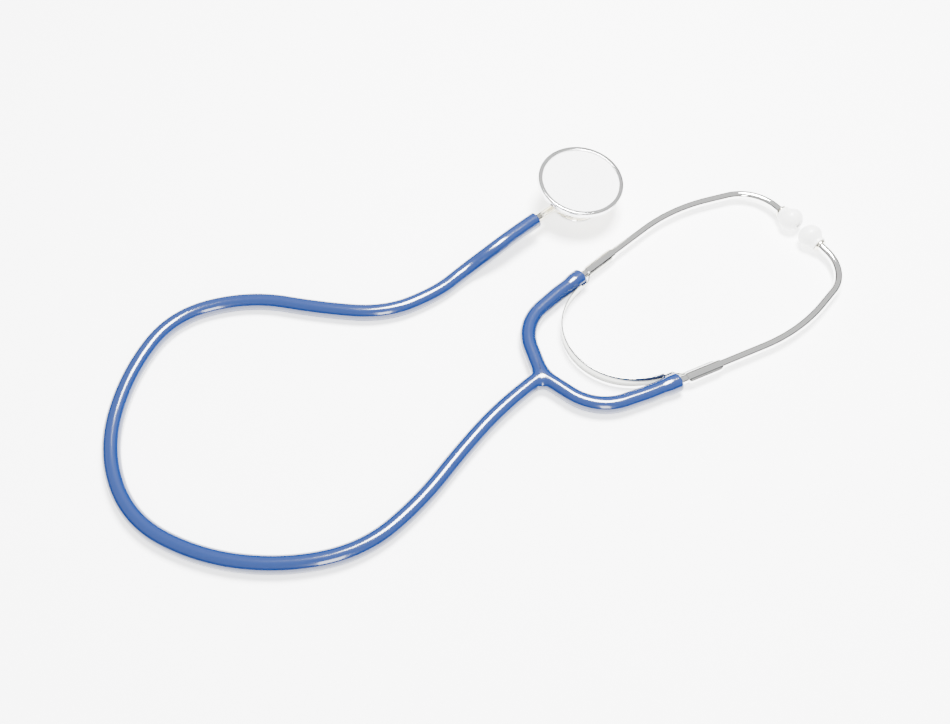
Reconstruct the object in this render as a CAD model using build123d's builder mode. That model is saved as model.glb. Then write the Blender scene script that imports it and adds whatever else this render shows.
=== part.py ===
from build123d import *
import os
from math import cos, pi, radians, sin, tan

# Stethoscope with a two-sided chestpiece, laid out on a table. Millimetres, +Z up, table at z = 0.
# +Y runs along the headset's axis, from the yoke towards the eartips, and +X is its right side.

# Ear tubes, ferrules and eartips
ear_tube_od = 4.8
ear_tube_wall = 0.6
tube_past_kink = 4.0
ferrule_wall = 0.7
ferrule_length = 7.0
ferrule_shoulder_step = 0.6
ferrule_shoulder = 1.2
eartip_od = 13.5
eartip_length = 13.2
eartip_to_middle = 1.8
eartip_neck_od = 8.6
eartip_neck = 2.2
eartip_widest = 7.2
eartip_bore = 2.4
thread_clearance = 0.15
seat_clearance = 0.3

# Hose and yoke, moulded in one from soft PVC; its bore is the ear tube's size
hose_od = 9.2
branch_swell = 0.6
branch_taper = 9.0
branch_end_round = 1.5
yoke_arm = 12.0
yoke_stem = 11.0
yoke_stem_lean = 9.0
crotch_radius = 4.6
fork_radius = 20.0

# Headset outline, measured from the yoke's junction: along the axis, then out from it
headset_x = 29.4
junction_y = -88.8
branch_corner_along = 10.4
branch_corner_out = 32.4
branch_corner_share = 0.73
branch_kink_along = 39.0
branch_kink_out = 38.8
branch_kink_share = 0.1
branch_end_along = 57.0
knee_along = 130.5
knee_out = 52.7
knee_share = 0.436
elbow_along = 181.4
elbow_out = 38.0
elbow_share = 0.334

# Leaf spring: its wide ends stop short of the branches' ends, and its tongues run past them
spring_thickness = 0.6
spring_width = 7.0
spring_bottom_along = 21.1
spring_bend_radius = 34.0
spring_bend_angle = 49.0
spring_wide_end_short = 4.8
spring_step_short = 1.5
spring_shoulder_share = 0.8
spring_branch_gap = 0.3
spring_tongue_past = 4.5
spring_tongue_width = 3.0
spring_gap = 0.12

# Sleeves that clasp the spring's tongues to the ear tubes
sleeve_past_branch = 4.0
sleeve_length = 20.5
sleeve_past_tongue = 3.0
sleeve_sheet = 0.55
sleeve_pad_radius = 1.9
sleeve_pad_height = 0.5
sleeve_pad_inset = 1.5
sleeve_gap = 0.05

# Place of the chestpiece on the table, and the thread clearance of both its rings
head_x = -61.2
head_y = 0.8
head_tilt = 8.1
stem_heading = 7.9
ring_clearance = 0.03

# Bell, seen in the chestpiece's own section: radius from its axis, height above the bell's rim
bell_rim_od = 30.6
bell_ring_wall = 1.07
bell_ring_height = 2.4
bell_ring_lip = 0.8
bell_wall = 1.4
bowl_roof = 1.2

# Waist, with the stem's boss, and the diaphragm's cup
waist_height = 10.2
waist_od = 19.0
cup_over_waist = 6.0
cup_height = 2.8
cup_depth = 1.6
cup_wall = 2.2
sound_bore = 3.0
boss_wall = 1.95
boss_reach = 16.5

# Ring, diaphragm and gasket
ring_od = 49.4
ring_wall = 1.0
ring_lip_width = 2.7
ring_lip = 0.9
ring_round = 1.1
ring_skirt = 3.1
ring_groove_drop = 2.1
ring_groove_width = 0.35
ring_groove_depth = 0.25
diaphragm_thickness = 0.4
gasket_thickness = 0.3

# Stem, valve spigot and detent
spigot_od = 7.0
spigot_past_axis = 4.0
spigot_clearance = 0.05
collar_step = 0.4
collar_width = 2.2
stem_od = 5.0
stem_bore = 2.6
hose_start_reach = 33.9
barb_length = 14.0
barb_height = 0.3
barb_count = 3
detent_reach = 4.6
detent_hole_d = 2.5
detent_clearance = 0.15
detent_groove_clearance = 0.06
detent_wire = 0.3
detent_spring_share = 0.35
detent_screw_share = 0.35
detent_slot = 0.5

# Hose's centre line between its two straight ends, from the yoke round to the stem
hose_yoke_run = 18.0
hose_route = [
    (43.2, -146.3, 4.6),
    (56.1, -178.4, 4.6),
    (62.2, -212.5, 4.6),
    (49.2, -246.9, 4.6),
    (23.7, -276.9, 4.6),
    (-12.0, -296.6, 4.6),
    (-53.7, -291.1, 4.6),
    (-89.2, -264.8, 4.6),
    (-111.4, -229.6, 4.6),
    (-99.7, -189.6, 4.6),
    (-71.5, -161.8, 4.6),
    (-49.7, -134.8, 4.6),
    (-46.3, -104.6, 4.6),
    (-51.0, -83.0, 4.6),
    (-50.3, -62.5, 12.1),
]

LEFT = -1
RIGHT = 1
hose_bore = ear_tube_od
branch_end_od = hose_od + 2 * branch_swell
headset_z = branch_end_od / 2


def at(along, out, side=RIGHT, height=headset_z):
    """A point of the headset, from the junction's distances."""
    return Vector(headset_x + side * out, junction_y + along, height)


def corner_radius(before, corner, after, share):
    """Radius whose tangent length is a share of the shorter run beside a corner."""
    turn = (corner - before).get_angle(after - corner)
    shorter = min((corner - before).length, (after - corner).length)
    return share * shorter / tan(radians(turn / 2))


def leg_radius(before, corner, after, share):
    """Radius whose tangent length is a share of the run that leads to a corner."""
    turn = (corner - before).get_angle(after - corner)
    return share * (corner - before).length / tan(radians(turn / 2))


def route_radii(points, share):
    """One arc radius for each inner point of a route."""
    triples = zip(points, points[1:], points[2:])
    return [corner_radius(a, b, c, share) for a, b, c in triples]


def across(origin, axis, side_dir):
    """A plane that holds an axis: x along the axis, y along side_dir."""
    return Plane(origin=origin, x_dir=axis, z_dir=axis.cross(side_dir))


junction = at(0, 0)
branch_corner = at(branch_corner_along, branch_corner_out)
branch_kink = at(branch_kink_along, branch_kink_out)
knee = at(knee_along, knee_out)
elbow = at(elbow_along, elbow_out)
arm_dir = (branch_corner - junction).normalized()
tube_dir = (knee - branch_kink).normalized()
tube_slope = (knee_out - branch_kink_out) / (knee_along - branch_kink_along)


def on_tube(along, inward=0.0):
    """A point of the ear tube's straight stretch, or one that lies inward of it."""
    out = branch_kink_out + tube_slope * (along - branch_kink_along)
    return at(along, out) + Vector(-tube_dir.Y, tube_dir.X) * inward


branch_end = on_tube(branch_end_along)
arm_end = junction + arm_dir * yoke_arm
stem_lean = radians(yoke_stem_lean)
stem_end = junction + Vector(sin(stem_lean), -cos(stem_lean)) * yoke_stem

# Yoke: a plan with rounded crotches, then its long edges rounded into tubes
yoke_ends = [stem_end, at(arm_dir.Y * yoke_arm, arm_dir.X * yoke_arm, LEFT), arm_end]
with BuildPart() as yoke:
    with BuildSketch(Plane.XY.offset(headset_z - hose_od / 2)) as yoke_plan:
        with BuildLine():
            for end in yoke_ends:
                Line((junction.X, junction.Y), (end.X, end.Y))
        trace(line_width=hose_od)
        corners = yoke_plan.vertices().sort_by_distance((junction.X, junction.Y))[:3]
        fork = corners.sort_by(Axis.Y)[-1:]
        fillet([corner for corner in corners if corner not in fork], crotch_radius)
        corners = yoke_plan.vertices().sort_by_distance((junction.X, junction.Y))
        fork = [corner for corner in corners if corner.Y > junction.Y][:1]
        fillet(fork, fork_radius)
    extrude(amount=hose_od)
    rims = yoke.edges().group_by(Axis.Z)
    long_edges = [e for e in rims[0] + rims[-1] if abs(e.length - hose_od) > 0.01]
    fillet(long_edges, 0.49 * hose_od)
    for end in yoke_ends:
        with BuildSketch(Plane(origin=end, z_dir=junction - end)):
            Circle(hose_bore / 2)
        extrude(amount=(junction - end).length, mode=Mode.SUBTRACT)

# Right branch: a bent tube whose end is stretched wider over the ear tube
branch_points = [arm_end, branch_corner, branch_kink, branch_end]
branch_radii = [
    corner_radius(arm_end, branch_corner, branch_kink, branch_corner_share),
    corner_radius(branch_corner, branch_kink, branch_end, branch_kink_share),
]
with BuildPart() as branch:
    with BuildLine() as branch_path:
        FilletPolyline(*branch_points, radius=branch_radii)
    with BuildSketch(Plane(origin=arm_end, z_dir=arm_dir)):
        Circle(hose_od / 2)
    sweep()
    with BuildSketch(across(branch_end, -tube_dir, Vector(0, 0, 1))):
        with BuildLine():
            Polyline(
                (branch_end_round, branch_end_od / 2),
                (branch_taper / 2, branch_end_od / 2),
                (branch_taper, hose_od / 2 - 0.01),
                (branch_taper, 0),
                (0, 0),
                (0, branch_end_od / 2 - branch_end_round),
            )
            RadiusArc(
                (0, branch_end_od / 2 - branch_end_round),
                (branch_end_round, branch_end_od / 2),
                branch_end_round,
            )
        make_face()
    revolve(axis=Axis(branch_end, tube_dir))
    with BuildLine():
        FilletPolyline(*branch_points, radius=branch_radii)
    with BuildSketch(Plane(origin=arm_end, z_dir=arm_dir)):
        Circle(hose_bore / 2)
    sweep(mode=Mode.SUBTRACT)

# Right ear tube: its last leg climbs a little, so that the wider eartip lies on the table
tube_stop_out = eartip_length + eartip_to_middle
eartip_middle_out = tube_stop_out - eartip_widest
climb = (eartip_od / 2 - headset_z) / (elbow_out - eartip_middle_out)
leg_dir = Vector(-1, 0, climb).normalized()
tube_stop = elbow + Vector(-1, 0, climb) * (elbow_out - tube_stop_out)
tube_start = branch_kink + tube_dir * tube_past_kink
tube_end = tube_stop + leg_dir * ferrule_length
tube_radii = [
    corner_radius(tube_start, knee, elbow, knee_share),
    leg_radius(knee, elbow, tube_end, elbow_share),
]
with BuildPart() as ear_tube:
    with BuildLine():
        FilletPolyline(tube_start, knee, elbow, tube_end, radius=tube_radii)
    with BuildSketch(Plane(origin=tube_start, z_dir=tube_dir)):
        Circle(ear_tube_od / 2)
        Circle(ear_tube_od / 2 - ear_tube_wall, mode=Mode.SUBTRACT)
    sweep()

# Right ferrule: a sleeve with a shoulder, on the ear tube's end
ferrule_r = ear_tube_od / 2 + ferrule_wall
with BuildPart() as ferrule:
    with BuildSketch(Plane(origin=tube_stop, z_dir=leg_dir)):
        Circle(ferrule_r)
    extrude(amount=ferrule_length)
    with BuildSketch(Plane(origin=tube_stop, z_dir=leg_dir)):
        Circle(ferrule_r + ferrule_shoulder_step)
    extrude(amount=-ferrule_shoulder)
    with BuildSketch(Plane(origin=tube_stop - leg_dir * ferrule_shoulder, z_dir=leg_dir)):
        Circle(ear_tube_od / 2 + 0.02)
    extrude(amount=ferrule_shoulder + ferrule_length, mode=Mode.SUBTRACT)
    chamfer(ferrule.edges().filter_by(GeomType.CIRCLE).sort_by(Axis.X)[0:1], 0.2)

# Right eartip: a mushroom, threaded on the ferrule, with a sound bore to its crown
socket_r = ferrule_r + thread_clearance
socket_depth = ferrule_length + seat_clearance
with BuildPart() as eartip:
    with BuildSketch(across(tube_stop, leg_dir, Vector(0, 1, 0))):
        with BuildLine():
            Polyline(
                (eartip_length, eartip_bore / 2),
                (socket_depth, eartip_bore / 2),
                (socket_depth, socket_r),
                (seat_clearance, socket_r),
                (seat_clearance, eartip_neck_od / 2),
                (eartip_neck, eartip_neck_od / 2),
            )
            Spline(
                (eartip_neck, eartip_neck_od / 2),
                (eartip_widest, eartip_od / 2),
                tangents=[(1, 0.6), (1, 0)],
            )
            Spline(
                (eartip_widest, eartip_od / 2),
                (eartip_length, eartip_bore / 2),
                tangents=[(1, 0), (-0.12, -1)],
            )
        make_face()
    revolve(axis=Axis(tube_stop, leg_dir))

# Leaf spring: a strip on edge, bent to a U, that passes inside the branches' ends and then
# steps out in a narrower tongue to lie against each ear tube
beside_inward = branch_end_od / 2 + spring_branch_gap + spring_thickness / 2
tongue_inward = ear_tube_od / 2 + spring_gap + spring_thickness / 2
sleeve_start_along = branch_end_along + sleeve_past_branch
wide_end = on_tube(branch_end_along - spring_wide_end_short, beside_inward)
step_start = on_tube(branch_end_along - spring_step_short, beside_inward)
tongue_start = on_tube(branch_end_along + spring_tongue_past, tongue_inward)
tongue_reach = sleeve_length - sleeve_past_tongue
tongue_end = on_tube(sleeve_start_along, tongue_inward) + tube_dir * tongue_reach
with BuildPart() as leaf_spring:
    with BuildSketch(Plane.XY.offset(headset_z - spring_width / 2)):
        with BuildLine():
            bottom = (headset_x, junction_y + spring_bottom_along)
            bend = JernArc(bottom, (1, 0), spring_bend_radius, spring_bend_angle)
            along_tube = (tube_dir.X, tube_dir.Y)
            flank = Spline(bend @ 1, (wide_end.X, wide_end.Y), tangents=[bend % 1, along_tube])
            Line(flank @ 1, (step_start.X, step_start.Y))
            step = Spline(
                (step_start.X, step_start.Y),
                (tongue_start.X, tongue_start.Y),
                tangents=[along_tube] * 2,
            )
            Line(step @ 1, (tongue_end.X, tongue_end.Y))
            mirror(about=Plane.YZ.offset(headset_x))
        trace(line_width=spring_thickness)
    extrude(amount=spring_width)
    with BuildSketch(Plane.YZ.offset(headset_x - 2 * knee_out)) as side_view:
        with BuildLine():
            Polyline(
                (bottom[1] - spring_width, headset_z - spring_width / 2),
                (wide_end.Y, headset_z - spring_width / 2),
                (wide_end.Y, headset_z - spring_tongue_width / 2),
                (tongue_end.Y, headset_z - spring_tongue_width / 2),
                (tongue_end.Y, headset_z + spring_tongue_width / 2),
                (wide_end.Y, headset_z + spring_tongue_width / 2),
                (wide_end.Y, headset_z + spring_width / 2),
                (bottom[1] - spring_width, headset_z + spring_width / 2),
                close=True,
            )
        make_face()
        shoulders = [
            corner
            for corner in side_view.vertices().sort_by_distance(wide_end)
            if abs(corner.Y - wide_end.Y) < 0.01
        ]
        fillet(shoulders, spring_shoulder_share * (spring_width - spring_tongue_width) / 4)
    extrude(amount=4 * knee_out, mode=Mode.INTERSECT)

# Right spring sleeve: sheet rolled round the tube, open inside for the tongue, with a pad outside
sleeve_start = on_tube(sleeve_start_along)
sleeve_plane = Plane(origin=sleeve_start, x_dir=Vector(tube_dir.Y, -tube_dir.X), z_dir=tube_dir)
sleeve_inner_r = ear_tube_od / 2 + sleeve_gap
sleeve_outer_r = sleeve_inner_r + sleeve_sheet
window_length = tongue_reach + spring_gap
with BuildPart() as sleeve:
    with BuildSketch(sleeve_plane):
        Circle(sleeve_outer_r)
    extrude(amount=sleeve_length)
    with BuildSketch(sleeve_plane.offset(sleeve_pad_inset)):
        Circle(sleeve_outer_r)
        with Locations((sleeve_outer_r - sleeve_pad_radius + sleeve_pad_height, 0)):
            Circle(sleeve_pad_radius)
        make_hull()
    extrude(amount=sleeve_length - 2 * sleeve_pad_inset)
    with BuildSketch(sleeve_plane):
        Circle(sleeve_inner_r)
    extrude(amount=sleeve_length, mode=Mode.SUBTRACT)
    with BuildSketch(sleeve_plane):
        with Locations((-sleeve_outer_r, 0)):
            Rectangle(2 * sleeve_outer_r, spring_tongue_width + 2 * spring_gap)
    extrude(amount=window_length, mode=Mode.SUBTRACT)

# Chestpiece frame: x towards the hose along the stem, z along the body's axis, away from the bell
lean = radians(head_tilt)
heading = radians(stem_heading)
stem_dir = Vector(sin(heading), -cos(heading), 0)
lean_dir = Vector(cos(heading), sin(heading), 0)
head_axis_dir = lean_dir * sin(lean) + Vector(0, 0, cos(lean))
head_origin = Vector(head_x, head_y, bell_rim_od / 2 * sin(lean))
head = Plane(origin=head_origin, x_dir=stem_dir, z_dir=head_axis_dir)
head_section = Plane(origin=head_origin, x_dir=stem_dir, z_dir=-head.y_dir)
head_axis = Axis(head_origin, head_axis_dir)
stem_origin = head_origin + head_axis_dir * waist_height


def along_stem(reach):
    """A plane across the stem, at a distance from the body's axis."""
    return Plane(origin=stem_origin + stem_dir * reach, x_dir=head_axis_dir, z_dir=stem_dir)


# Body: bell bowl below, waist with the stem's boss, shallow cup above
bell_body_r = bell_rim_od / 2 - bell_ring_wall - ring_clearance
bowl_r = bell_body_r - bell_wall
bowl_depth = waist_height - spigot_od / 2 - bowl_roof
cup_r = ring_od / 2 - ring_wall - ring_clearance
cup_floor_height = waist_height + cup_over_waist
cup_rim_height = cup_floor_height + cup_height
with BuildPart() as body:
    with BuildSketch(head_section):
        with BuildLine():
            Polyline(
                (0, bell_ring_lip),
                (bell_body_r, bell_ring_lip),
                (bell_body_r, bell_ring_height + 0.8),
            )
            Spline(
                (bell_body_r, bell_ring_height + 0.8),
                (waist_od / 2, waist_height - 2.4),
                tangents=[(-0.5, 1), (-0.1, 1)],
            )
            Spline(
                (waist_od / 2, waist_height - 2.4),
                (cup_r, cup_floor_height),
                tangents=[(0.1, 1), (1, 0.12)],
            )
            Polyline(
                (cup_r, cup_floor_height),
                (cup_r, cup_rim_height),
                (0, cup_rim_height),
                (0, bell_ring_lip),
            )
        make_face()
    revolve(axis=head_axis)
    with BuildSketch(along_stem(0)):
        Circle(spigot_od / 2 + spigot_clearance + boss_wall)
    extrude(amount=boss_reach)
    with BuildSketch(head_section):
        Ellipse(bowl_r, bowl_depth)
        Rectangle(bowl_r, bowl_depth, align=(Align.MIN, Align.MIN), mode=Mode.INTERSECT)
    revolve(axis=head_axis, mode=Mode.SUBTRACT)
    with BuildSketch(head.offset(cup_rim_height)):
        Circle(cup_r - cup_wall)
    extrude(amount=-cup_depth, mode=Mode.SUBTRACT)
    with BuildSketch(head):
        Circle(sound_bore / 2)
    extrude(amount=cup_rim_height, mode=Mode.SUBTRACT)
    with BuildSketch(along_stem(boss_reach)):
        Circle(spigot_od / 2 + spigot_clearance)
    extrude(amount=-(boss_reach + spigot_past_axis + 0.3), mode=Mode.SUBTRACT)
    with BuildSketch(Plane(origin=along_stem(detent_reach).origin, z_dir=-head.y_dir)):
        Circle(detent_hole_d / 2)
    extrude(amount=cup_r, mode=Mode.SUBTRACT)

# Bell ring: closes the bell's edge, and is what the chestpiece stands on
with BuildPart() as bell_ring:
    with BuildSketch(head_section):
        with BuildLine():
            Polyline(
                (bell_rim_od / 2, 0.5),
                (bell_rim_od / 2, bell_ring_height - 0.4),
                (bell_rim_od / 2 - 0.4, bell_ring_height),
                (bell_body_r + ring_clearance, bell_ring_height),
                (bell_body_r + ring_clearance, bell_ring_lip),
                (bowl_r, bell_ring_lip),
                (bowl_r + 0.5, 0),
                (bell_rim_od / 2 - 0.5, 0),
                close=True,
            )
        make_face()
    revolve(axis=head_axis)

# Gasket, diaphragm and ring, stacked on the cup's rim
seat_r = cup_r - 0.2
gasket_top = cup_rim_height + gasket_thickness
diaphragm_top = gasket_top + diaphragm_thickness
with BuildPart() as gasket:
    with BuildSketch(head.offset(cup_rim_height)):
        Circle(seat_r)
        Circle(cup_r - cup_wall, mode=Mode.SUBTRACT)
    extrude(amount=gasket_thickness)

with BuildPart() as diaphragm:
    with BuildSketch(head.offset(gasket_top)):
        Circle(seat_r)
    extrude(amount=diaphragm_thickness)

ring_top = diaphragm_top + ring_lip
ring_r = ring_od / 2
lip_r = ring_r - ring_lip_width
groove_top = ring_top - ring_groove_drop
with BuildPart() as diaphragm_ring:
    with BuildSketch(head_section):
        with BuildLine():
            Polyline(
                (lip_r, diaphragm_top),
                (lip_r, ring_top - ring_lip / 3),
                (lip_r + ring_lip / 3, ring_top),
                (ring_r - ring_round, ring_top),
            )
            RadiusArc(
                (ring_r - ring_round, ring_top),
                (ring_r, ring_top - ring_round),
                ring_round,
            )
            Polyline(
                (ring_r, ring_top - ring_round),
                (ring_r, groove_top),
                (ring_r - ring_groove_depth, groove_top),
                (ring_r - ring_groove_depth, groove_top - ring_groove_width),
                (ring_r, groove_top - ring_groove_width),
                (ring_r, ring_top - ring_skirt + 0.2),
                (ring_r - 0.2, ring_top - ring_skirt),
                (cup_r + ring_clearance, ring_top - ring_skirt),
                (cup_r + ring_clearance, diaphragm_top),
                (lip_r, diaphragm_top),
            )
        make_face()
    revolve(axis=head_axis)

# Stem: valve spigot with one side port, collar, neck and hose barb, bored through
barb_r = stem_od / 2 + barb_height
ball_r = detent_hole_d / 2 - detent_clearance
groove_r = ball_r + detent_groove_clearance
ball_centre_r = spigot_od / 2 + 0.45 * ball_r
with BuildPart() as stem:
    with BuildSketch(along_stem(-spigot_past_axis)):
        Circle(spigot_od / 2)
    extrude(amount=spigot_past_axis + boss_reach + 0.1)
    with BuildSketch(along_stem(boss_reach + 0.1)):
        Circle(spigot_od / 2 + collar_step)
    extrude(amount=collar_width)
    chamfer(stem.edges().filter_by(GeomType.CIRCLE).sort_by(SortBy.RADIUS)[-2:], 0.25)
    with BuildSketch(along_stem(boss_reach)):
        Circle(stem_od / 2)
    extrude(amount=hose_start_reach - boss_reach + 0.3)
    with BuildSketch(along_stem(hose_start_reach)):
        Circle(stem_od / 2 - 0.2)
    extrude(amount=barb_length)
    barb_pitch = barb_length / barb_count
    for step in range(barb_count):
        with BuildSketch(along_stem(hose_start_reach + 0.3 + step * barb_pitch)):
            Circle(barb_r)
        with BuildSketch(along_stem(hose_start_reach + (step + 1) * barb_pitch)):
            Circle(stem_od / 2 - 0.1)
        loft()
    with BuildSketch(along_stem(0)):
        Circle(stem_bore / 2)
    extrude(amount=hose_start_reach + barb_length + 1, mode=Mode.SUBTRACT)
    with BuildSketch(Plane(origin=stem_origin, z_dir=head_axis_dir)):
        Circle(sound_bore / 2)
    extrude(amount=spigot_od, mode=Mode.SUBTRACT)
    groove_plane = Plane(origin=stem_origin, x_dir=stem_dir, z_dir=-head.y_dir)
    with BuildSketch(groove_plane):
        with Locations((detent_reach, ball_centre_r)):
            Circle(groove_r)
    revolve(axis=Axis(stem_origin, stem_dir), mode=Mode.SUBTRACT)

# Detent: ball in the groove, spring behind it, slotted screw to close the hole
detent_dir = -head.y_dir
detent_foot = along_stem(detent_reach).origin
ball_centre = detent_foot + detent_dir * ball_centre_r
ball_top = ball_centre_r + ball_r
detent_room = waist_od / 2 - ball_top
screw_foot = ball_top + detent_spring_share * detent_room
screw_length = detent_screw_share * detent_room
with BuildPart() as detent_ball:
    with Locations(ball_centre):
        Sphere(ball_r)

spring_start = ball_top + detent_groove_clearance
spring_length = screw_foot - detent_groove_clearance - spring_start
with BuildPart() as detent_spring:
    with BuildSketch(Plane(origin=detent_foot + detent_dir * spring_start, z_dir=detent_dir)):
        Circle(ball_r - detent_groove_clearance)
        Circle(ball_r - detent_groove_clearance - detent_wire, mode=Mode.SUBTRACT)
    extrude(amount=spring_length)

with BuildPart() as detent_screw:
    screw_plane = Plane(origin=detent_foot + detent_dir * screw_foot, x_dir=stem_dir, z_dir=detent_dir)
    with BuildSketch(screw_plane):
        Circle(detent_hole_d / 2 - ring_clearance)
    extrude(amount=screw_length)
    with BuildSketch(screw_plane.offset(screw_length)):
        Rectangle(detent_hole_d, detent_slot)
    extrude(amount=-0.4 * screw_length, mode=Mode.SUBTRACT)

# Main hose: straight runs joined by large arcs, with a socket for the stem's barb
stem_out_dir = (stem_end - junction).normalized()
yoke_run = [stem_end, stem_end + stem_out_dir * hose_yoke_run]
stem_run = [along_stem(hose_start_reach + barb_length).origin, along_stem(hose_start_reach).origin]
route = yoke_run + [Vector(*p) for p in hose_route] + stem_run
radii = route_radii(route, 0.49)
print("hose radii", [round(r) for r in radii])
with BuildPart() as hose:
    with BuildLine() as hose_line:
        FilletPolyline(*route, radius=radii)
    with BuildSketch(Plane(origin=route[0], z_dir=route[1] - route[0])):
        Circle(hose_od / 2)
    sweep()
hose_length = sum(run.length for run in hose_line.edges())
hose_volume = hose_length * pi * (hose_od / 2) ** 2
print("hose length", round(hose_length, 1))
print("hose volume against section by length", round(hose.part.volume / hose_volume, 4))
with BuildPart() as hose_socketed:
    add(hose.part)
    with BuildSketch(along_stem(hose_start_reach)):
        Circle(barb_r + 0.02)
    extrude(amount=barb_length + 1, mode=Mode.SUBTRACT)

os.makedirs("parts", exist_ok=True)
single = {
    "hose": hose_socketed,
    "yoke": yoke,
    "leaf_spring": leaf_spring,
    "chestpiece_body": body,
    "bell_ring": bell_ring,
    "diaphragm_gasket": gasket,
    "diaphragm": diaphragm,
    "diaphragm_ring": diaphragm_ring,
    "stem": stem,
    "detent_ball": detent_ball,
    "detent_spring": detent_spring,
    "detent_screw": detent_screw,
}
for name, piece in single.items():
    piece.part.label = name
    export_step(piece.part, f"parts/{name}.step")

paired = {
    "branch": branch,
    "ear_tube": ear_tube,
    "ferrule": ferrule,
    "eartip": eartip,
    "spring_sleeve": sleeve,
}
middle = Plane.YZ.offset(headset_x)
for name, piece in paired.items():
    piece.part.label = f"right_{name}"
    export_step(piece.part, f"parts/right_{name}.step")
    with BuildPart() as mirrored:
        mirror(piece.part, about=middle)
    mirrored.part.label = f"left_{name}"
    export_step(mirrored.part, f"parts/left_{name}.step")

# How far the part reaches on each axis without the hose
pieces = [piece for name, piece in {**single, **paired}.items() if name != "hose"]
boxes = [piece.part.bounding_box() for piece in pieces]
for axis in ("X", "Y", "Z"):
    lows = [getattr(box.min, axis) for box in boxes]
    highs = [getattr(box.max, axis) for box in boxes]
    print(axis, "from", round(min(lows), 2), "to", round(max(highs), 2))
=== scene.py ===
"""Looks of the stethoscope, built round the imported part. Metres in Blender, millimetres in the numbers here.

Every surface is a grid of points worked out at once from a path and a section, in the part's frame.
"""

import bpy
import numpy as np
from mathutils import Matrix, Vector


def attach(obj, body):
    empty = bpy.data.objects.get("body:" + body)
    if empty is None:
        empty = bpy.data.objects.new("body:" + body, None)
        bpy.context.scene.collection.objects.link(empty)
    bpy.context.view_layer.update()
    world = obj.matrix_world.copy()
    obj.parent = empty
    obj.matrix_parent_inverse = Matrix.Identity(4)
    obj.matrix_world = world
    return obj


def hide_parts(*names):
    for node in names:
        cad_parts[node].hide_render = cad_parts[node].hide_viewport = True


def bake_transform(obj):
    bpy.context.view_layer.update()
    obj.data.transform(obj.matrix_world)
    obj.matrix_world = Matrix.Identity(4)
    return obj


MM = 0.001
UP = np.array([0.0, 0.0, 1.0])

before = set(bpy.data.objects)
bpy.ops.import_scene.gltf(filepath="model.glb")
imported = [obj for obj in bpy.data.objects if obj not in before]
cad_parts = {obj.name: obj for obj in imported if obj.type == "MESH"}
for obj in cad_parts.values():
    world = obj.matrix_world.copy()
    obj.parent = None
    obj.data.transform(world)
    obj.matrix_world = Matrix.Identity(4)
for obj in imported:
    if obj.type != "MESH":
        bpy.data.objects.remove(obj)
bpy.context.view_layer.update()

# Sizes, as in the part
LEFT, RIGHT = -1, 1
SIDES = ((RIGHT, "right"), (LEFT, "left"))
HOSE_R = 4.6
BRANCH_END_R = 5.2
TUBE_R = 2.4
HEADSET_X = 29.4
JUNCTION = np.array([HEADSET_X, -88.8, 5.2])

# Yoke: its arms' lengths, the stem's lean and the fillets of the three crotches
ARM = 12.0
STEM = 11.0
STEM_LEAN = np.radians(9.0)
CROTCH_FILLETS = (4.6, 20.0, 4.6)

# Headset outline: distance along its axis from the junction, then out from it
CORNER = (10.4, 32.4)
KINK = (39.0, 38.8)
BRANCH_END = 57.0
KNEE = (130.5, 52.7)
ELBOW = (181.4, 38.0)
CORNER_SHARE, KINK_SHARE = 0.73, 0.1
KNEE_R, ELBOW_R = 105.0, 23.5
TUBE_PAST_KINK = 4.0
TUBE_STOP_OUT = 15.0
FERRULE_LENGTH = 7.0
EARTIP_R = 6.75
EARTIP_WIDEST = 7.2
EARTIP_LENGTH = 13.2

# Leaf spring and the sleeves that clasp its tongues, along the same axis
SPRING_BOTTOM = 21.1
SPRING_BEND_R = 34.0
SPRING_BEND_TURN = 49.0
WIDE_END = BRANCH_END - 4.8
STEP_START = BRANCH_END - 1.5
STEP_END = BRANCH_END + 4.5
TONGUE_END = 78.3
WIDE_INSIDE, TONGUE_INSIDE = 5.8, 2.82
SLEEVE_START = 61.0
SLEEVE_LENGTH = 20.5

# Chestpiece: its place, and the frame of its axis and of the stem's
HEAD_ORIGIN = np.array([-61.2, 0.8, 2.156])
HEAD_AXIS = np.array([0.139564, 0.019366, 0.990024])
STEM_DIR = np.array([0.137445, -0.990509, 0.0])
HEAD_SIDE = np.cross(HEAD_AXIS, STEM_DIR)
WAIST = 10.2

# Hose: straight out of the yoke, round the route, and straight onto the stem's barb
HOSE_START = 33.9
STRAIGHT_FROM_YOKE, STRAIGHT_TO_STEM = 18.0, 14.0
HOSE_ROUTE = [
    (43.2, -146.3, 4.6),
    (56.1, -178.4, 4.6),
    (62.2, -212.5, 4.6),
    (49.2, -246.9, 4.6),
    (23.7, -276.9, 4.6),
    (-12.0, -296.6, 4.6),
    (-53.7, -291.1, 4.6),
    (-89.2, -264.8, 4.6),
    (-111.4, -229.6, 4.6),
    (-99.7, -189.6, 4.6),
    (-71.5, -161.8, 4.6),
    (-49.7, -134.8, 4.6),
    (-46.3, -104.6, 4.6),
    (-51.0, -83.0, 4.6),
    (-50.3, -62.5, 12.1),
]


# Points and paths
def at(along, out, side=RIGHT):
    """A point of the headset from its distances along and out of the axis."""
    return np.array([HEADSET_X + side * out, JUNCTION[1] + along, JUNCTION[2]])


def unit(v):
    """A vector of length one."""
    v = np.asarray(v, float)
    return v / np.linalg.norm(v, axis=-1, keepdims=True)


def on_side(points, side):
    """Points of the right side as they are, or reflected in the headset's middle plane."""
    out = np.array(points, float)
    if side == LEFT:
        out[..., 0] = 2 * HEADSET_X - out[..., 0]
    return out


def smooth(t):
    """Rises from 0 to 1 as t does, level at both ends."""
    t = np.clip(t, 0, 1)
    return t * t * (3 - 2 * t)


def lengths(path):
    """Distance from the path's start to each of its points."""
    return np.r_[0, np.cumsum(np.linalg.norm(np.diff(path, axis=0), axis=1))]


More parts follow.
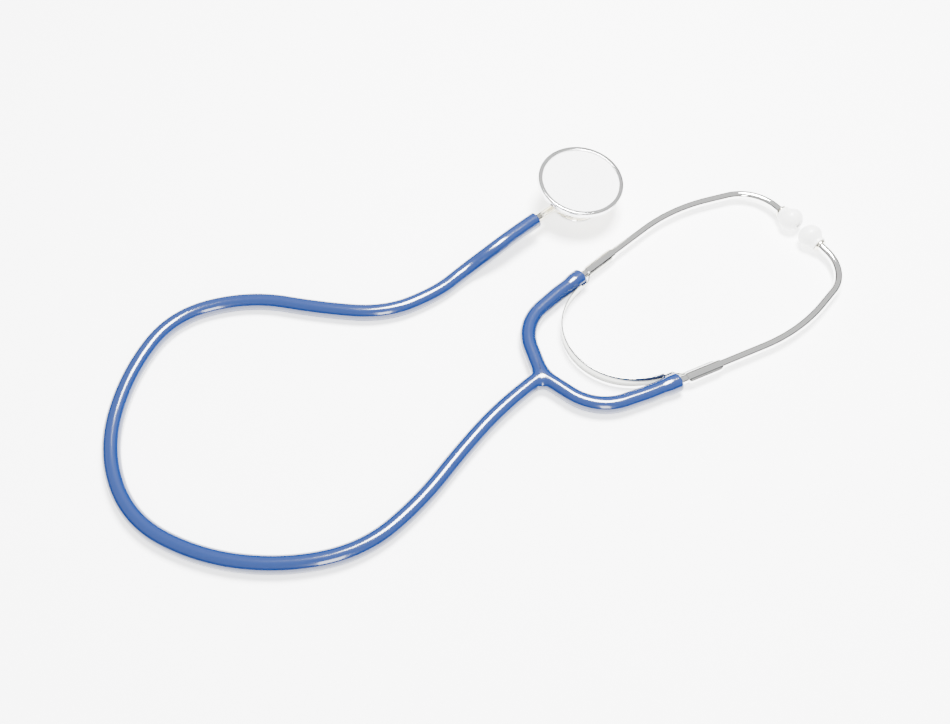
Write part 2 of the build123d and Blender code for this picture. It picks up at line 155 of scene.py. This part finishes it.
def resampled(path, count):
    """The same line as a number of points, an even distance apart."""
    t = np.linspace(0, 1, count)
    share = lengths(path) / lengths(path)[-1]
    return np.stack([np.interp(t, share, path[:, i]) for i in range(3)], axis=1)


def respaced(rough, step):
    """The same line with points an even step apart."""
    gaps = np.linalg.norm(np.diff(rough, axis=0), axis=1)
    rough = rough[np.r_[True, gaps > 1e-6]]
    length = lengths(rough)
    want = np.linspace(0, length[-1], max(2, int(round(length[-1] / step)) + 1))
    return np.stack([np.interp(want, length, rough[:, i]) for i in range(3)], axis=1)


def corner_radius(a, b, c, share):
    """Radius whose tangent length is a share of the shorter run beside corner b."""
    into, out = b - a, c - b
    cosine = np.clip(np.dot(unit(into), unit(out)), -1, 1)
    shorter = min(np.linalg.norm(into), np.linalg.norm(out))
    return share * shorter / np.tan(np.arccos(cosine) / 2)


def rounded_path(points, radii, step):
    """Straight runs joined by arcs, as points about a step apart.

    Each corner is cut back by radius times the tangent of half its turn, and an arc fills the cut."""
    points = [np.asarray(p, float) for p in points]
    out = [points[0][None]]
    for a, b, c, r in zip(points, points[1:], points[2:], radii):
        into, away = unit(b - a), unit(c - b)
        turn = np.arccos(np.clip(into @ away, -1, 1))
        cut = r * np.tan(turn / 2)
        inward = unit(away - into)
        centre = b - into * cut + unit(inward - (inward @ into) * into) * r
        start = unit(b - into * cut - centre)
        angles = np.linspace(0, turn, max(4, int(r * turn / step * 1.6)))[:, None]
        out.append(centre + r * (np.cos(angles) * start + np.sin(angles) * into))
    out.append(points[-1][None])
    return respaced(np.vstack(out), step)


def hermite(p, q, dp, dq, count):
    """A cubic from p to q that leaves along dp and arrives along dq."""
    t = np.linspace(0, 1, count)[:, None]
    p, q, dp, dq = (np.asarray(v, float) for v in (p, q, dp, dq))
    rise = smooth(t)
    return p * (1 - rise) + q * rise + dp * t * (1 - t) ** 2 - dq * t * t * (1 - t)


# Surfaces
def swept(path, radius, sides):
    """Rings of points round a path.

    A point is the path's point plus its radius times cosine of the angle sideways and sine upwards."""
    path = np.asarray(path, float)
    tangent = unit(np.gradient(path, axis=0))
    side = unit(np.cross(tangent, UP))
    top = np.cross(side, tangent)
    angle = np.linspace(0, 2 * np.pi, sides, endpoint=False)[None, :, None]
    radius = np.broadcast_to(radius, len(path))[:, None, None]
    return path[:, None] + radius * (side[:, None] * np.cos(angle) + top[:, None] * np.sin(angle))


def turned(profile, origin, axis, start, sides):
    """Rings of points round an axis: each profile point is a radius and a height along the axis."""
    profile = np.asarray(profile, float)
    other = np.cross(axis, start)
    angle = np.linspace(0, 2 * np.pi, sides, endpoint=False)
    ring = start * np.cos(angle)[:, None] + other * np.sin(angle)[:, None]
    return origin + profile[:, None, 1:] * axis + profile[:, None, :1] * ring[None]


def softened(profile, bevel, steps=3):
    """A profile whose corners are cut to small curves, so that edges catch the light."""
    p = np.asarray(profile, float)
    out = [p[0]]
    for a, b, c in zip(p, p[1:], p[2:]):
        before, after = np.linalg.norm(b - a), np.linalg.norm(c - b)
        cut = min(bevel, 0.4 * before, 0.4 * after)
        start, end = b + (a - b) / before * cut, b + (c - b) / after * cut
        for t in np.linspace(0, 1, steps + 1):
            out.append((1 - t) ** 2 * start + 2 * t * (1 - t) * b + t * t * end)
    out.append(p[-1])
    return np.array(out)


def grid_faces(rows, columns, closed, offset):
    """Four corners of each cell of a grid of points, which may close round its columns."""
    r = np.arange(rows - 1)[:, None]
    c = np.arange(columns if closed else columns - 1)[None]
    n = (c + 1) % columns
    here, above = r * columns, (r + 1) * columns
    return np.stack([here + c, here + n, above + n, above + c], axis=-1).reshape(-1, 4) + offset


def piece(name, *grids, closed=True, flip=False, smooth_angle=40):
    """One mesh object from grids of points in millimetres."""
    points, faces, base = [], [], 0
    for grid in grids:
        rows, columns = grid.shape[:2]
        points.append(grid.reshape(-1, 3))
        faces.append(grid_faces(rows, columns, closed, base))
        base += rows * columns
    points = np.vstack(points) * MM
    faces = np.vstack(faces)
    if flip:
        faces = faces[:, ::-1]
    mesh = bpy.data.meshes.new(name)
    mesh.vertices.add(len(points))
    mesh.vertices.foreach_set("co", points.ravel())
    mesh.loops.add(faces.size)
    mesh.loops.foreach_set("vertex_index", faces.ravel().astype(np.int32))
    mesh.polygons.add(len(faces))
    mesh.polygons.foreach_set("loop_start", np.arange(0, faces.size, 4, dtype=np.int32))
    mesh.update(calc_edges=True)
    mesh.validate()
    mesh.shade_smooth()
    mesh.set_sharp_from_angle(angle=np.radians(smooth_angle))
    made = bpy.data.objects.new(name, mesh)
    bpy.context.scene.collection.objects.link(made)
    return made


def joined(keep, *others):
    """One object from several meshes."""
    with bpy.context.temp_override(active_object=keep, selected_editable_objects=[keep, *others]):
        bpy.ops.object.join()
    return keep


# Materials
def colour(text):
    """A hex colour as linear red, green, blue and alpha."""
    s = np.array([int(text[i : i + 2], 16) / 255 for i in (1, 3, 5)])
    linear = np.where(s <= 0.04045, s / 12.92, ((s + 0.055) / 1.055) ** 2.4)
    return (*linear, 1.0)


def node(tree, kind, links=(), **settings):
    """Adds a node, sets its inputs by name, and links each (input, output) pair."""
    made = tree.nodes.new(kind)
    for socket, value in settings.items():
        made.inputs[socket].default_value = value
    for socket, output in links:
        tree.links.new(made.inputs[socket], output)
    return made


def surface(name, tint, **settings):
    """A material with one principled shader; returns the material, its tree and the shader.

    An underscore in a setting's name stands for a space."""
    made = bpy.data.materials.new(name)
    made.use_nodes = True
    tree = made.node_tree
    shader = tree.nodes["Principled BSDF"]
    shader.inputs["Base Color"].default_value = colour(tint)
    for key, value in settings.items():
        shader.inputs[key.replace("_", " ")].default_value = value
    return made, tree, shader


def bumped(tree, shader, scale, depth):
    """Soft noise in object space, in bumps of real size: scale is bumps per metre, depth in metres."""
    place = node(tree, "ShaderNodeTexCoord")
    noise = node(tree, "ShaderNodeTexNoise", [("Vector", place.outputs["Object"])], Scale=scale, Detail=1.0)
    bump = node(tree, "ShaderNodeBump", [("Height", noise.outputs["Fac"])], Strength=1.0, Distance=depth)
    tree.links.new(shader.inputs["Normal"], bump.outputs[0])


def blue_pvc():
    """Plasticised PVC: a clear wet-looking skin over a deep blue."""
    made, tree, shader = surface("blue PVC", "#0C2454", Roughness=0.16, IOR=1.53, Specular_IOR_Level=0.6,
                                 Coat_Weight=0.6, Coat_Roughness=0.04)
    # the long soft waves of an extruded hose, which make its highlight swell and thin
    bumped(tree, shader, 55, 0.00018)
    return made


def chrome(name, tint, rough):
    """Chrome plate: an almost perfect mirror, so its look is the room and the table in it."""
    made, tree, shader = surface(name, tint, Metallic=1.0, Roughness=rough)
    # the faint ripple of a polished and plated tube, which breaks a reflection's edge
    bumped(tree, shader, 160, 0.00001)
    return made


def plastic(name, tint, rough):
    """Hard moulded plastic or rubber, one colour all through, with a satin skin."""
    return surface(name, tint, Roughness=rough, IOR=1.5)[0]


PVC = blue_pvc()
CHROME = chrome("chrome plate", "#F4F4F2", 0.05)
RING = chrome("ring chrome", "#EFEFEF", 0.09)
PLATED_BRASS = chrome("plated brass", "#E4E0D2", 0.08)
SPRING_STEEL = chrome("spring steel", "#B9BAB4", 0.16)
TIP = plastic("eartip plastic", "#F4F4F2", 0.28)
FILM = plastic("diaphragm film", "#F6F6F6", 0.45)
RUBBER = plastic("gasket rubber", "#17181A", 0.6)


def dressed(made, material, slot, body=None, *nodes):
    """Gives a piece its material, the body it rides and the nodes it stands for; its slot is not used."""
    made.data.materials.clear()
    made.data.materials.append(material)
    if body:
        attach(made, body)
    if nodes:
        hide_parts(*nodes)


# Camera, table and light
def studio():
    """A glowing white table under a small bright lamp and a window, in a room that is dark low down."""
    scene = bpy.context.scene
    picture_px, focal_px = 950, 1000
    data = bpy.data.cameras.new("camera")
    data.sensor_width = 36.0
    data.lens = data.sensor_width * focal_px / picture_px
    data.dof.use_dof = False
    data.clip_start, data.clip_end = 0.01, 20.0
    camera = bpy.data.objects.new("camera", data)
    scene.collection.objects.link(camera)
    camera.location = (0.24813, -0.27543, 0.43059)
    aim = Vector((0.00265, -0.1119, 0.0046)) - camera.location
    camera.rotation_euler = aim.to_track_quat("-Z", "Y").to_euler()
    scene.camera = camera

    half = 3.0
    corners = [(-half, -half, 0), (half, -half, 0), (half, half, 0), (-half, half, 0)]
    table = bpy.data.meshes.new("table")
    table.from_pydata(corners, [], [(0, 1, 2, 3)])
    floor = bpy.data.objects.new("table", table)
    scene.collection.objects.link(floor)
    white = surface("white table", "#FBFBFB", Roughness=0.8, Emission_Color=colour("#FFFFFF"),
                    Emission_Strength=2.2)[0]
    floor.data.materials.append(white)

    def sheet(name, at_m, to_m, size, power):
        lamp = bpy.data.lights.new(name, "AREA")
        lamp.shape = "RECTANGLE"
        lamp.size, lamp.size_y = size
        lamp.energy = power
        made = bpy.data.objects.new(name, lamp)
        scene.collection.objects.link(made)
        made.location = at_m
        made.rotation_euler = (Vector(to_m) - Vector(at_m)).to_track_quat("-Z", "Y").to_euler()
        return made

    lamps = [
        sheet("overhead", (-0.15, 0.15, 1.1), (0, -0.1, 0), (0.45, 0.45), 85),
        sheet("right window", (1.1, -0.6, 0.7), (0, -0.1, 0), (0.3, 0.7), 14),
    ]
    world = bpy.data.worlds.new("room")
    scene.world = world
    world.use_nodes = True
    tree = world.node_tree
    place = node(tree, "ShaderNodeTexCoord")
    split = node(tree, "ShaderNodeSeparateXYZ", [("Vector", place.outputs["Generated"])])
    ramp = node(tree, "ShaderNodeValToRGB", [("Fac", split.outputs["Z"])])
    stops = ramp.color_ramp.elements
    stops[0].position, stops[0].color = 0.0, (0.004, 0.004, 0.0045, 1)
    stops[1].position, stops[1].color = 0.46, (1, 1, 1, 1)
    middle = stops.new(0.34)
    middle.color = (0.02, 0.02, 0.022, 1)
    shade = tree.nodes["Background"]
    tree.links.new(shade.inputs["Color"], ramp.outputs["Color"])
    shade.inputs["Strength"].default_value = 0.9


# Hose
YOKE_STEM_DIR = np.array([np.sin(STEM_LEAN), -np.cos(STEM_LEAN), 0.0])
YOKE_STEM_END = JUNCTION + YOKE_STEM_DIR * STEM


def along_stem(reach):
    """A point on the stem's axis, at a distance from the chestpiece's axis."""
    return HEAD_ORIGIN + HEAD_AXIS * WAIST + STEM_DIR * reach


def hose():
    """A soft curve that touches the middle of each run of the route."""
    route = [YOKE_STEM_END, YOKE_STEM_END + YOKE_STEM_DIR * STRAIGHT_FROM_YOKE]
    route += [np.array(p) for p in HOSE_ROUTE]
    route += [along_stem(HOSE_START + STRAIGHT_TO_STEM), along_stem(HOSE_START)]
    points = np.array(route) * MM
    line = bpy.data.curves.new("main_hose", "CURVE")
    line.dimensions = "3D"
    spline = line.splines.new("NURBS")
    spline.points.add(len(points) - 1)
    spline.points.foreach_set("co", np.c_[points, np.ones(len(points))].ravel())
    spline.order_u = 3
    spline.use_endpoint_u = True
    spline.resolution_u = 14
    line.bevel_depth = HOSE_R * MM
    line.bevel_resolution = 10
    line.use_fill_caps = True
    made = bpy.data.objects.new("main_hose", line)
    bpy.context.scene.collection.objects.link(made)
    dressed(made, PVC, "blue_pvc", "trunk", "hose")


# Yoke and branches
ARM_DIR = unit(at(*CORNER) - JUNCTION)
LEFT_ARM_DIR = ARM_DIR * np.array([-1, 1, 1])
TUBE_DIR = unit(at(*KNEE) - at(*KINK))


def tube_point(along, inward=0.0):
    """A point of the straight part of the right ear tube's axis, or one moved inward of it."""
    slope = (KNEE[1] - KINK[1]) / (KNEE[0] - KINK[0])
    inside = np.array([-TUBE_DIR[1], TUBE_DIR[0], 0])
    return at(along, KINK[1] + slope * (along - KINK[0])) + inside * inward


def trouser(first, second, radius, fillet):
    """The skin between two arms of the yoke, from the ridge on top round the crotch to the ridge below.

    A section's point is the ridge's point, plus sine of the angle times the way to the crotch line,
    plus cosine of the angle times the radius upwards."""
    (a, long_a), (b, long_b) = first, second
    step, web, most_share, off_centre, count, rows = 0.35, 2.2, 0.9, 0.02, 90, 33
    turn = np.arctan2(np.cross(a, b)[2], a @ b) % (2 * np.pi)
    opening = abs(np.tan(turn / 2))
    middle = np.cos(turn / 2) * a + np.sin(turn / 2) * np.cross(UP, a)
    left_a, left_b = np.cross(UP, a), -np.cross(UP, b)
    corner = JUNCTION + middle * radius / np.sin(turn / 2)
    most = most_share * opening * (min(long_a, long_b) - radius / opening)
    crotch = rounded_path(
        [JUNCTION + a * long_a + left_a * radius, corner, JUNCTION + b * long_b + left_b * radius],
        [min(fillet, most)],
        step,
    )
    ridge = rounded_path(
        [JUNCTION + a * long_a, JUNCTION + middle * off_centre, JUNCTION + b * long_b],
        [web * opening],
        step,
    )
    crotch, ridge = resampled(crotch, count), resampled(ridge, count)
    angle = np.linspace(0, np.pi, rows)[None, :, None]
    return ridge[:, None] + np.sin(angle) * (crotch - ridge)[:, None] + np.cos(angle) * radius * UP


def yoke():
    """Three skins that meet on the ridges of the three arms, and a small web where they join."""
    arms = [(YOKE_STEM_DIR, STEM), (ARM_DIR, ARM), (LEFT_ARM_DIR, ARM)]
    skins = [trouser(arms[i], arms[(i + 1) % 3], HOSE_R, CROTCH_FILLETS[i]) for i in range(3)]
    made = piece("yoke_skin", *skins, closed=False)
    webs = []
    for row in (0, -1):
        rim = np.vstack([skin[:, row] for skin in skins])
        webs.append(np.stack([rim, np.broadcast_to(rim.mean(0), rim.shape)]))
    joined(made, piece("yoke_web", *webs))
    dressed(made, PVC, "blue_pvc", "trunk", "yoke")


def branches():
    """Each branch is a hose that swells over the ear tube and ends in a rounded lip."""
    swell_start, swell_length, lip, sides = 11.0, 6.0, 1.7, 56
    corners = [JUNCTION + ARM_DIR * ARM, at(*CORNER), at(*KINK), tube_point(BRANCH_END)]
    radii = [corner_radius(*corners[:3], CORNER_SHARE), corner_radius(*corners[1:], KINK_SHARE)]
    path = rounded_path(corners, radii, 0.5)
    away = lengths(path)[-1] - lengths(path)
    radius = HOSE_R + (BRANCH_END_R - HOSE_R) * smooth((swell_start - away) / swell_length)
    inside = np.clip(1 - away / lip, 0, 1)
    radius = radius - lip * (1 - np.sqrt(1 - inside**2))
    # the end face, down into the tube's hole: radius, and distance past the path's end
    face = [(radius[-1], 0.0), (radius[-1] - 0.35, 0.05), (TUBE_R + 0.25, 0.0), (TUBE_R + 0.02, -0.25),
            (TUBE_R, -1.5)]
    rings = [swept([path[-1] + TUBE_DIR * (past - 0.01), path[-1] + TUBE_DIR * past], r, sides)[1:]
             for r, past in face]
    skin = np.concatenate([swept(path, radius, sides), *rings])
    for side, name in SIDES:
        made = piece(f"{name}_branch_skin", on_side(skin, side), flip=side == LEFT)
        dressed(made, PVC, "blue_pvc", None, f"{name}_branch")
        start = on_side(JUNCTION + ARM_DIR * ARM, side)
        stop = on_side(tube_point(KINK[0] + 1.5), side)
        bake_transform(made)


# Ear tubes, ferrules and eartips
CLIMB = (EARTIP_R - JUNCTION[2]) / (ELBOW[1] - (TUBE_STOP_OUT - EARTIP_WIDEST))
LEG_DIR = unit([-1, 0, CLIMB])
TUBE_STOP = at(*ELBOW) + np.array([-1, 0, CLIMB]) * (ELBOW[1] - TUBE_STOP_OUT)


def ear_tubes():
    """Bent tube of one thickness, from inside the branch to inside the eartip; its ferrule and eartip."""
    start = at(*KINK) + TUBE_DIR * TUBE_PAST_KINK
    end = TUBE_STOP + LEG_DIR * FERRULE_LENGTH
    tube = swept(rounded_path([start, at(*KNEE), at(*ELBOW), end], [KNEE_R, ELBOW_R], 0.8), TUBE_R, 48)
    across = np.array([0.0, 1.0, 0.0])
    shoulder = [(2.3, -1.3), (3.35, -1.3), (3.7, -0.95), (3.7, 0.0), (3.1, 0.0), (3.1, FERRULE_LENGTH),
                (2.0, FERRULE_LENGTH)]
    ferrule = turned(softened(shoulder, 0.15), TUBE_STOP, LEG_DIR, across, 64)
    tip = turned(eartip_profile(), TUBE_STOP, LEG_DIR, across, 96)
    for side, name in SIDES:
        made = piece(f"{name}_tube_skin", on_side(tube, side), flip=side == LEFT)
        dressed(made, CHROME, "chromed_tube", f"{name}_tube", f"{name}_ear_tube")
        made = piece(f"{name}_ferrule_skin", on_side(ferrule, side), flip=side == RIGHT)
        dressed(made, PLATED_BRASS, "plated_brass", f"{name}_tube", f"{name}_ferrule")
        made = piece(f"{name}_eartip_skin", on_side(tip, side), flip=side == RIGHT)
        dressed(made, TIP, "white_plastic", f"{name}_tip", f"{name}_eartip")


def eartip_profile():
    """Neck, flare, dome and the rim of the sound hole, as radius and distance."""
    neck_r, neck, hole_r, hole_depth = 4.3, 2.2, 1.2, 3.0
    base = [(3.2, 1.2), (3.2, 0.45), (3.45, 0.3), (neck_r - 0.25, 0.3), (neck_r, 0.55), (neck_r, 1.4)]
    flare = hermite((neck_r, neck), (EARTIP_R, EARTIP_WIDEST), (3.0, 5.0), (0.0, 6.0), 18)
    dome = hermite((EARTIP_R, EARTIP_WIDEST), (2.0, EARTIP_LENGTH), (0.0, 9.0), (-7.0, 0.6), 26)
    hole = [(1.5, EARTIP_LENGTH - 0.1), (1.25, EARTIP_LENGTH - 0.45), (hole_r, EARTIP_LENGTH - hole_depth),
            (0.0, EARTIP_LENGTH - hole_depth)]
    return np.vstack([base, flare, dome[1:], hole])


# Leaf spring and sleeves
def spring_line():
    """The right half of the strip's centre line: round the bend, past the branch, in beside the tube."""
    bend = np.radians(np.linspace(0, SPRING_BEND_TURN, 40))
    round_bend = np.stack([np.sin(bend), 1 - np.cos(bend), 0 * bend], axis=1)
    arc = at(SPRING_BOTTOM, 0.0) + SPRING_BEND_R * round_bend
    leave = np.array([np.cos(bend[-1]), np.sin(bend[-1]), 0])
    beside, leaves = tube_point(WIDE_END, WIDE_INSIDE), tube_point(STEP_START, WIDE_INSIDE)
    tongue, stop = tube_point(STEP_END, TONGUE_INSIDE), tube_point(TONGUE_END, TONGUE_INSIDE)
    gap = np.linalg.norm(beside - arc[-1])
    flank = hermite(arc[-1], beside, leave * gap, TUBE_DIR * gap, 30)
    gap = np.linalg.norm(tongue - leaves)
    step = hermite(leaves, tongue, TUBE_DIR * gap, TUBE_DIR * gap, 16)
    return respaced(np.vstack([arc, flank[1:], step, stop[None]]), 0.5)


def strip(path):
    """A flat strip on edge along a path, whose height falls from full width to the tongue's."""
    wide, narrow, shoulder, thick, edge = 3.5, 1.5, 1.6, 0.3, 0.12
    tangent = unit(np.gradient(path, axis=0))
    side = unit(np.cross(tangent, UP))
    along = path[:, 1] - JUNCTION[1]
    over = np.clip((along - (WIDE_END - shoulder)) / shoulder, 0, 1)
    half = np.where(along > WIDE_END, narrow, wide - (wide - narrow) * (1 - np.sqrt(1 - over**2)))
    # the section's corners: sideways, which edge of the strip, and how far in from it
    section = [
        (-thick, -1, edge), (-thick, 1, -edge), (-thick + edge, 1, 0), (thick - edge, 1, 0),
        (thick, 1, -edge), (thick, -1, edge), (thick - edge, -1, 0), (-thick + edge, -1, 0),
    ]
    return np.stack([path + side * x + UP * (y * half + inset)[:, None] for x, y, inset in section], axis=1)


def springs():
    """Two halves that part in the middle, where the strip bends when the ear tubes spread."""
    half = strip(spring_line())
    for side, name in SIDES:
        made = piece(f"{name}_half_of_leaf_spring", on_side(half, side), flip=side == RIGHT, smooth_angle=50)
        dressed(made, SPRING_STEEL, "spring_steel", None, "leaf_spring")
        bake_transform(made)


def sleeves():
    """Sheet rolled round the ear tube, with a raised pad on its outer side."""
    sheet_r, pad_r, pad_height, run_out, hem = 3.0, 1.9, 0.5, 1.5, 0.12
    inner_r = TUBE_R + 0.03
    along = np.linspace(0, SLEEVE_LENGTH, 60)
    path = tube_point(SLEEVE_START) + along[:, None] * TUBE_DIR
    angle = np.linspace(0, 2 * np.pi, 72, endpoint=False)
    reach = sheet_r - pad_r + pad_height
    pad = reach * np.cos(angle) + np.sqrt(np.maximum(pad_r**2 - (reach * np.sin(angle)) ** 2, 0))
    pad = np.where(np.cos(angle) > 0, np.maximum(pad, sheet_r), sheet_r)
    ease = smooth(along / run_out) * smooth((SLEEVE_LENGTH - along) / run_out)
    radius = sheet_r + (pad - sheet_r)[None] * ease[:, None]
    outward = np.array([TUBE_DIR[1], -TUBE_DIR[0], 0.0])
    ring = outward * np.cos(angle)[:, None] + UP * np.sin(angle)[:, None]
    outer = path[:, None] + radius[..., None] * ring[None]
    outer[0] += TUBE_DIR * hem
    outer[-1] -= TUBE_DIR * hem
    mouth = [path[0] + inner_r * ring, path[0] + (sheet_r - hem) * ring]
    heel = [path[-1] + (sheet_r - hem) * ring, path[-1] + inner_r * ring]
    skin = np.concatenate([np.stack(mouth), outer, np.stack(heel)])
    for side, name in SIDES:
        made = piece(f"{name}_sleeve_skin", on_side(skin, side), flip=side == LEFT)
        dressed(made, CHROME, "chromed_tube", f"{name}_tube", f"{name}_spring_sleeve")


# Chestpiece and stem
def head_part(name, profile, material, slot, *nodes, extra=()):
    """A turned piece of the chestpiece."""
    skin = turned(profile, HEAD_ORIGIN, HEAD_AXIS, STEM_DIR, 160)
    dressed(piece(name, skin, *extra, flip=True), material, slot, "head", *nodes)


def round_stem(profile, bevel, sides):
    """Rings of points round the stem's axis, from radii and distances along it."""
    turn = np.linspace(0, 2 * np.pi, sides, endpoint=False)
    ring = HEAD_AXIS * np.cos(turn)[:, None] + HEAD_SIDE * np.sin(turn)[:, None]
    return np.stack([along_stem(reach) + r * ring for r, reach in softened(profile, bevel)])


def chestpiece():
    """Body, rings, gasket and diaphragm, each a profile of radius and height turned round one axis."""
    bell_r, bowl_r, bowl_height, neck_r, neck = 14.2, 12.8, 5.5, 9.5, 7.8
    cup_r, seat_r, cup_foot, cup_floor, cup_top = 23.67, 21.47, 16.2, 17.4, 19.0
    film_r, film_low, film_high = 23.47, 19.3, 19.7

    bowl_angle = np.radians(np.linspace(0, 83, 30))
    bowl = np.stack([bowl_r * np.cos(bowl_angle), bowl_height * np.sin(bowl_angle)], axis=1)
    lower = hermite((bell_r, 3.2), (neck_r, neck), (-3.0, 6.0), (-0.6, 6.0), 26)
    upper = hermite((neck_r, neck), (cup_r, cup_foot), (1.6, 16.5), (16.5, 2.0), 40)
    rim = [(cup_r, cup_foot), (cup_r, cup_top), (seat_r, cup_top), (seat_r, cup_floor), (1.5, cup_floor),
           (1.5, 10.6)]
    drum = np.vstack([bowl[::-1], [(bell_r, 0.8)], lower, upper[1:], softened(rim, 0.1)[1:]])
    boss = round_stem([(5.5, 5.0), (5.5, 16.1), (5.1, 16.5), (3.55, 16.5), (3.55, 14.0)], 0.1, 64)
    head_part("chestpiece_drum", drum, PLATED_BRASS, "plated_brass", "chestpiece_body", extra=[boss[:, ::-1]])

    bell = [(bell_r, 2.4), (14.9, 2.4), (15.3, 2.0), (15.3, 0.5), (14.8, 0.0), (13.3, 0.0), (bowl_r, 0.8),
            (bowl_r, 1.2)]
    head_part("bell_rim", softened(bell, 0.15)[::-1], RING, "polished_ring", "bell_ring")
    gasket = [(seat_r, cup_top), (film_r, cup_top), (film_r, film_low), (seat_r, film_low)]
    head_part("gasket_skin", gasket, RUBBER, "black_rubber", "diaphragm_gasket")
    film = [(film_r, film_low), (film_r, film_high), (21.5, film_high), (20.9, 19.62), (20.1, 19.58),
            (12.0, 19.58), (0.0, 19.58)]
    head_part("diaphragm_film", film, FILM, "white_diaphragm", "diaphragm")
    wall = [(23.7, 17.5), (24.5, 17.5), (24.7, 17.7), (24.7, 18.15), (24.45, 18.15), (24.45, 18.5),
            (24.7, 18.5), (24.7, 19.5), (24.38, 20.28), (23.6, 20.6), (22.3, 20.6), (22.0, 20.3),
            (22.0, film_high)]
    head_part("diaphragm_rim", softened(wall, 0.12), RING, "polished_ring", "diaphragm_ring")


def stem():
    """Collar, neck and barb, turned round the stem's axis."""
    bore_r, spigot_r, collar_r, neck_r, barb_low, barb_high = 1.3, 3.5, 3.9, 2.5, 2.4, 2.8
    outline = [
        (bore_r, 14.0), (spigot_r, 14.0), (spigot_r, 16.6), (3.65, 16.6), (collar_r, 16.85),
        (collar_r, 18.55), (3.65, 18.8), (neck_r, 18.8), (neck_r, 34.2), (barb_high, 34.2),
        (barb_low, 38.5), (barb_high, 38.9), (barb_low, 43.2), (bore_r, 43.2),
    ]
    dressed(piece("stem_skin", round_stem(outline, 0.12, 96)), PLATED_BRASS, "plated_brass", "trunk", "stem")


studio()
hose()
yoke()
branches()
ear_tubes()
springs()
sleeves()
chestpiece()
stem()

for hidden in ("detent_ball", "detent_spring", "detent_screw"):
    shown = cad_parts[hidden]
    shown.data.materials.clear()
    shown.data.materials.append(SPRING_STEEL)
